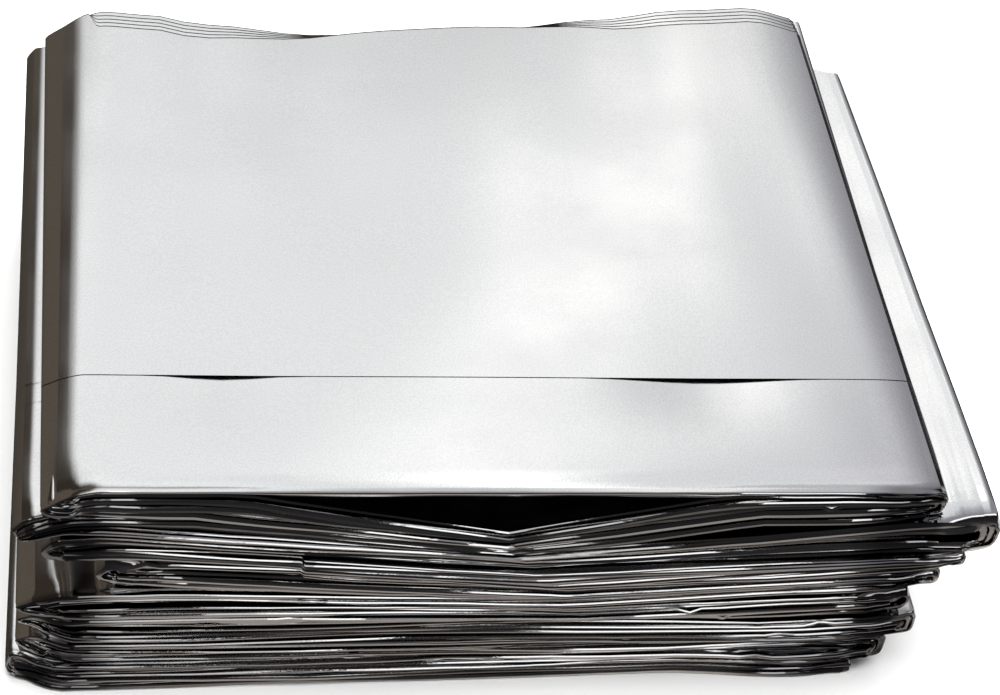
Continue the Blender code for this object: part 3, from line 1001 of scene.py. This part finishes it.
# Painted shade colour for the folds' crumpled near corners.
PAINTED_SHADE_COLOUR = (0.36, 0.36, 0.37, 1.0)


def foil_finish():
    """Metal-coated film: a soft, finely grained mirror, streaked at its folds, with painted shade
    darkening the base colour at some fold corners.
    """
    material = bpy.data.materials.new("foil_finish")
    nodes = Nodes(material)
    shader = nodes.tree.nodes["Principled BSDF"]
    place, x, y, z = nodes.coordinates("Object")
    near_edge = nodes.ranged(y, *SHARP_EDGE_Y)
    side = nodes.ranged(nodes.math("ABSOLUTE", x), *STREAKED_END_X)
    edge_streaks = nodes.stretched_noise(place, EDGE_STREAKS, detail=2.0)
    end_streaks = nodes.stretched_noise(place, END_STREAKS, detail=1.0)
    grain = nodes.stretched_noise(place, GRAIN, detail=1.0)
    patches = nodes.stretched_noise(place, PATCHES, detail=3.0, roughness=0.55)

    normal = nodes.bump(grain, GRAIN_DEPTH, GRAIN_STRENGTH)
    strength = nodes.math("MULTIPLY", near_edge, EDGE_STREAK_STRENGTH)
    normal = nodes.bump(edge_streaks, STREAK_DEPTH, strength, normal)
    strength = nodes.math("MULTIPLY", side, END_STREAK_STRENGTH)
    normal = nodes.bump(end_streaks, STREAK_DEPTH, strength, normal)
    nodes.join(normal, shader.inputs["Normal"])

    rough = nodes.ranged(patches, *PATCH_RANGE, SMOOTHEST, ROUGHEST)
    edge_rough = nodes.ranged(near_edge, 0.0, 1.0, 0.0, SHARP_EDGE_ROUGHNESS)
    nodes.join(nodes.math("ADD", rough, edge_rough), shader.inputs["Roughness"])
    clean = nodes.mixed(nodes.ranged(grain, *GRAIN_RANGE), DARK_GRAIN, PALE_GRAIN)
    # Painted shade: the base colour is darkened at the folds' near corners.
    coloured = nodes.mixed(painted_shade_share(nodes, x, y, z), clean, PAINTED_SHADE_COLOUR)
    nodes.join(coloured, shader.inputs["Base Color"])
    shader.inputs["Metallic"].default_value = 1.0
    return material


def painted_shade_share(nodes, x, y, z):
    """1 at the near corners, which are crumpled too finely to be modelled and get painted shade, a darker
    base colour standing in for their dim reflections; 0 elsewhere.
    """
    left = nodes.ranged(x, *PAINTED_SHADE_LEFT_X)
    right = [nodes.ranged(x, *pair) for pair in (PAINTED_SHADE_RIGHT_X, PAINTED_SHADE_RIGHT_LIMIT)]
    low = [nodes.ranged(x, *PAINTED_SHADE_LOW_X), nodes.ranged(z, *PAINTED_SHADE_LOW_Z)]
    right, low = [nodes.math("MULTIPLY", *pair) for pair in (right, low)]
    corner = nodes.math("MAXIMUM", left, nodes.math("MAXIMUM", right, low))
    return nodes.math("MULTIPLY", corner, nodes.ranged(y, *PAINTED_SHADE_Y))


# ---------------------------------------------------------------- studio

CAMERA_YAW = math.radians(10.96)
CAMERA_PITCH = math.radians(45.0)
CAMERA_ROLL = math.radians(7.55)
CAMERA_FOCAL = 2789.0    # in widths of a pixel, for an image 1000 pixels wide
CAMERA_PLACE = (-54.5, -263.7, 341.4)    # in the tables' coordinates
IMAGE_WIDTH = 1000.0
SENSOR = 36.0            # width in millimetres
CLIP_START = 0.01        # in metres, as are the sizes below


def make_camera():
    forward = Vector((math.sin(CAMERA_YAW) * math.cos(CAMERA_PITCH),
                      math.cos(CAMERA_YAW) * math.cos(CAMERA_PITCH),
                      -math.sin(CAMERA_PITCH)))
    level = Vector((math.cos(CAMERA_YAW), -math.sin(CAMERA_YAW), 0.0))
    above = level.cross(forward)
    right = math.cos(CAMERA_ROLL) * level + math.sin(CAMERA_ROLL) * above
    up = -math.sin(CAMERA_ROLL) * level + math.cos(CAMERA_ROLL) * above
    data = bpy.data.cameras.new("camera")
    data.sensor_width = SENSOR
    data.lens = CAMERA_FOCAL / IMAGE_WIDTH * SENSOR
    data.clip_start = CLIP_START
    camera = bpy.data.objects.new("camera", data)
    turn = Matrix((right, up, -forward)).transposed().to_4x4()
    place = Vector(CAMERA_PLACE) - Vector((MIDDLE_X, MIDDLE_Y, 0.0))
    camera.matrix_world = Matrix.Translation(place * MM) @ turn
    bpy.context.collection.objects.link(camera)
    bpy.context.scene.camera = camera


FLOOR_HALF = 2.0
FLOOR_DROP = 0.0001
FLOOR_COLOUR = (0.93, 0.93, 0.925, 1.0)
FLOOR_ROUGHNESS = 0.9


def make_floor():
    mesh = bpy.data.meshes.new("floor")
    square = ((-1, -1), (1, -1), (1, 1), (-1, 1))
    corners = [(FLOOR_HALF * x, FLOOR_HALF * y, 0.0) for x, y in square]
    mesh.from_pydata(corners, [], [(0, 1, 2, 3)])
    floor = bpy.data.objects.new("floor", mesh)
    bpy.context.collection.objects.link(floor)
    floor.location.z = -FLOOR_DROP
    floor.visible_glossy = False     # the film's sides mirror the dark room, not this bright sheet
    material = bpy.data.materials.new("floor")
    shader = Nodes(material).tree.nodes["Principled BSDF"]
    shader.inputs["Base Color"].default_value = FLOOR_COLOUR
    shader.inputs["Roughness"].default_value = FLOOR_ROUGHNESS
    mesh.materials.append(material)


# The room's colours, from straight down at 0 to straight up at 1.
LEFT_ROOM = (
    (0.00, (0.020, 0.018, 0.016)),
    (0.35, (0.062, 0.052, 0.043)),
    (0.50, (0.078, 0.064, 0.050)),
    (0.60, (0.095, 0.079, 0.062)),
    (0.765, (0.092, 0.076, 0.060)),
    (0.78, (0.034, 0.026, 0.021)),
)
RIGHT_ROOM = (
    (0.00, (0.75, 0.75, 0.74)),
    (0.36, (0.70, 0.70, 0.69)),
    (0.41, (0.012, 0.011, 0.011)),
    (0.70, (0.012, 0.011, 0.011)),
    (0.80, (0.060, 0.058, 0.060)),
)
FRONT_ROOM = (
    (0.00, (0.350, 0.316, 0.290)),
    (0.15, (0.275, 0.248, 0.228)),
    (0.23, (0.140, 0.127, 0.118)),
    (0.31, (0.030, 0.028, 0.027)),
    (0.40, (0.021, 0.021, 0.023)),
    (0.80, (0.010, 0.010, 0.011)),
    (1.00, (0.040, 0.035, 0.030)),
)
# The ceiling's colours, in bands from left to right that slant as they go back.
CEILING = (
    (0.20, (0.96, 0.97, 0.97)),
    (0.29, (0.91, 0.92, 0.93)),
    (0.37, (0.82, 0.83, 0.84)),
    (0.40, (1.02, 1.03, 1.03)),
    (0.42, (1.35, 1.35, 1.33)),
    (0.455, (1.35, 1.35, 1.33)),
    (0.475, (0.82, 0.83, 0.84)),
    (0.52, (0.76, 0.77, 0.78)),
    (0.58, (0.71, 0.71, 0.74)),
    (0.66, (0.43, 0.43, 0.46)),
    (0.78, (0.26, 0.26, 0.28)),
)
# The numbers from here to make_world() are parts of a direction of length 1.
LEFT_TO_RIGHT, FRONT_TO_BACK = (0.02, 0.16), (-0.25, 0.35)     # where one side's colours turn to the next
CEILING_MIDDLE = (0.30, 0.36, 0.88)
CEILING_RIM = (0.69, 0.85)               # cosines of the angle from that middle
BAND_Y, BAND_SLANT, BAND_SHIFT = 0.67, 0.52, 0.30
DIM_SLANT, DIM_FROM, DIM_TO = 2.2, 0.30, 0.40
DIM_FACTOR = 0.68        # the ceiling's far right is dimmer by this


def make_world():
    """A dim room with a pale ceiling, which is dimmer at the far right."""
    world = bpy.data.worlds.new("studio")
    nodes = Nodes(world)
    background = nodes.tree.nodes["Background"]
    towards, x, y, z = nodes.coordinates("Generated")
    height = nodes.ranged(z, -1.0, 1.0, steps="LINEAR")
    left, right, front = [nodes.ramp(height, room) for room in (LEFT_ROOM, RIGHT_ROOM, FRONT_ROOM)]
    back = nodes.mixed(nodes.ranged(x, *LEFT_TO_RIGHT), left, right)
    room = nodes.mixed(nodes.ranged(y, *FRONT_TO_BACK), front, back)

    ceiling = nodes.add("ShaderNodeVectorMath", operation="DOT_PRODUCT")
    nodes.join(towards, ceiling.inputs[0])
    ceiling.inputs[1].default_value = Vector(CEILING_MIDDLE).normalized()
    lit = nodes.ranged(ceiling.outputs["Value"], *CEILING_RIM)
    backward = nodes.math("SUBTRACT", y, BAND_Y)
    across = nodes.math("SUBTRACT", x, nodes.math("MULTIPLY", backward, BAND_SLANT))
    far_right = nodes.math("ADD", x, nodes.math("MULTIPLY", backward, DIM_SLANT))
    pale = nodes.ramp(nodes.math("ADD", across, BAND_SHIFT), CEILING)
    pale = nodes.scaled(pale, nodes.ranged(far_right, DIM_FROM, DIM_TO, 1.0, DIM_FACTOR))
    nodes.join(nodes.mixed(lit, room, pale), background.inputs["Color"])
    bpy.context.scene.world = world


LIGHTS = (
    # name, direction to it, distance, shift to the right, width, height, radiance, seen in the film
    ("top softbox", (0.00, -0.46, 0.89), 1.2, 0.55, 1.00, 0.34, 1.15, True),
    ("dim softbox", (0.00, -0.46, 0.89), 1.2, -0.44, 0.98, 0.34, 0.60, True),
    ("fill", (0.10, 0.10, 1.00), 2.0, 0.0, 2.20, 2.20, 6.5, False),
)


def make_lights():
    """Flat lights, turned back along their directions; the power is pi x area x radiance."""
    for name, direction, distance, shift, width, height, radiance, seen in LIGHTS:
        data = bpy.data.lights.new(name, "AREA")
        data.shape = "RECTANGLE"
        data.size = width
        data.size_y = height
        data.energy = radiance * math.pi * width * height
        light = bpy.data.objects.new(name, data)
        towards = Vector(direction).normalized()
        light.location = towards * distance + Vector((shift, 0.0, 0.0))
        light.rotation_euler = towards.to_track_quat("Z", "Y").to_euler()
        light.visible_glossy = seen
        bpy.context.collection.objects.link(light)


film = build_film()
film.data.materials.append(foil_finish())
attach(film, "root")
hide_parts("foil_blanket")
make_camera()
make_floor()
make_world()
make_lights()
bpy.context.scene.view_settings.view_transform = "Standard"
